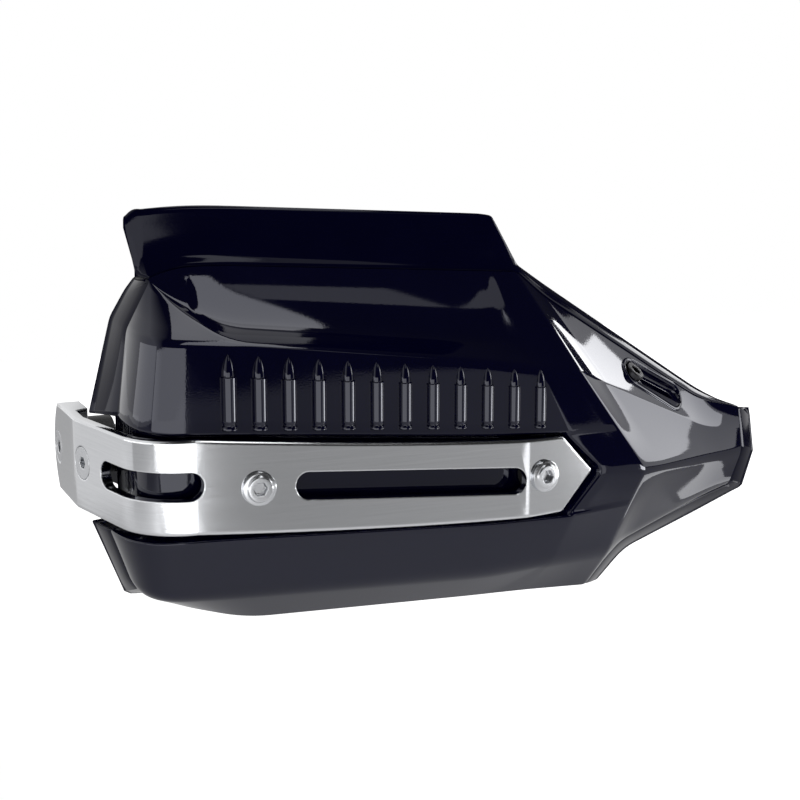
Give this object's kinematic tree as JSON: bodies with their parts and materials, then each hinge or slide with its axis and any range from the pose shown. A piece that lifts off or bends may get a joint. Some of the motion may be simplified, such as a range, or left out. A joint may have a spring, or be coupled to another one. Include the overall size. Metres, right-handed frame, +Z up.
{
  "type": "motorcycle hand guard",
  "caption": "Right hand guard for a motorcycle: glossy two-part shell with a wind deflector, half-round ribs and a pointed tail, held by a slotted aluminium strap to the handlebar.",
  "frame": {"origin": "on the handlebar's axis, at the inner face of the strap's end boss", "axes": "+X inwards along the handlebar, +Y rearwards, +Z up"},
  "size_m": [0.2999, 0.1081, 0.1633],
  "materials": {
    "cover_plastic": "high gloss",
    "frame_plastic": "gloss",
    "strap_metal": "satin with bevelled edges",
    "bolt_steel": "stainless",
    "zinc_steel": "zinc plated",
    "black_steel": "black",
    "spacer_plastic": "matt",
    "bush_rubber": "matt",
    "insert_brass": "plain",
    "bracket_black": "satin powder coat"
  },
  "bodies": {
    "root": {"front_cover": "cover_plastic", "rear_frame": "frame_plastic", "guard_strap": "strap_metal", "outer_strap_bolt": "bolt_steel", "inner_strap_bolt": "bolt_steel", "side_screw": "bolt_steel", "bar_end_bolt": "bolt_steel", "side_spacer": "spacer_plastic", "ledge_screw": "black_steel", "strap_bushes": "bush_rubber", "shell_sleeves": "zinc_steel", "strap_washers": "zinc_steel", "strap_nuts": "zinc_steel", "side_nut": "zinc_steel", "bar_end_spacer": "spacer_plastic", "expander_sleeve": "zinc_steel", "expander_cone": "zinc_steel", "bracket_arm": "bracket_black", "ledge_washer": "black_steel", "ledge_insert": "insert_brass", "clamp_body": "bracket_black", "clamp_cap": "bracket_black", "clamp_screws": "zinc_steel", "clamp_liner": "bush_rubber", "arm_screw": "zinc_steel", "cover_screws": "black_steel"}
  },
  "joints": []
}
